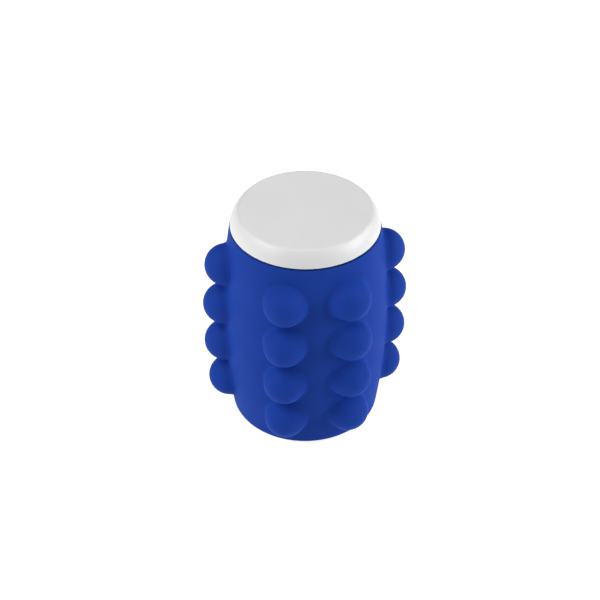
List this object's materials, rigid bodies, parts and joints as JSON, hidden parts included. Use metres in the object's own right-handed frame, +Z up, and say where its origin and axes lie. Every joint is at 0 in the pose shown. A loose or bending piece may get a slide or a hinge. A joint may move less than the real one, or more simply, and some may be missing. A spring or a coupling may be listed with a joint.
{
  "type": "pipette filler bulb",
  "caption": "Barrel-shaped rubber pipette bulb with grip nubs in columns, a rounded twist-to-vent cap, a ball exhaust valve and a pipette socket in its base.",
  "frame": {"origin": "centre of the flat base, on the bulb's axis", "axes": "+Z up along the bulb's axis from the pipette socket to the cap; the pairs of nub columns face -Y and +Y, the single columns face -X and +X"},
  "size_m": [0.0626, 0.0584, 0.0729],
  "materials": {
    "bulb_silicone": "satin moulded silicone, royal blue",
    "cap_plastic": "smooth satin, off-white",
    "housing_plastic": "satin, light grey",
    "socket_plastic": "smooth, light grey",
    "disc_plastic": "polished sealing face, natural",
    "washer_plastic": "low-friction, natural white",
    "sleeve_silicone": "soft, translucent grey",
    "seal_rubber": "black, matte",
    "filter_membrane": "fine porous white membrane",
    "spring_steel": "drawn stainless wire",
    "screw_steel": "stainless, turned",
    "ball_steel": "polished stainless"
  },
  "bodies": {
    "bulb": {"bulb_body": "bulb_silicone", "socket_body": "socket_plastic", "socket_nut": "socket_plastic", "slip_washer": "washer_plastic", "pipette_sleeve": "sleeve_silicone", "filter_support": "housing_plastic", "filter_membrane": "filter_membrane", "filter_o_ring": "seal_rubber", "filter_cover": "housing_plastic"},
    "head": {"valve_housing": "housing_plastic", "vent_gasket": "seal_rubber", "pivot_o_ring": "seal_rubber", "exhaust_cage": "housing_plastic"},
    "cap_assembly": {"cap": "cap_plastic", "vent_disc": "disc_plastic", "disc_spring": "spring_steel", "thrust_washer": "washer_plastic", "pivot_screw": "screw_steel", "pivot_washer": "washer_plastic"},
    "ball": {"exhaust_ball": "ball_steel"}
  },
  "joints": [
    {"name": "bulb_press", "type": "slide", "parent": "bulb", "child": "head", "axis": [0, 0, -1], "range_m": [0, 0.01], "stiffness_N_per_m": 1500, "springref_m": -0.001, "deforming": ["bulb_body"]},
    {"name": "vent_twist", "type": "hinge", "parent": "head", "child": "cap_assembly", "pos_m": [0, 0, 0.0625], "axis": [0, 0, 1], "range_deg": [0, 90]},
    {"name": "exhaust_lift", "type": "slide", "parent": "head", "child": "ball", "axis": [0, 0, 1], "range_m": [0, 0.001]}
  ]
}
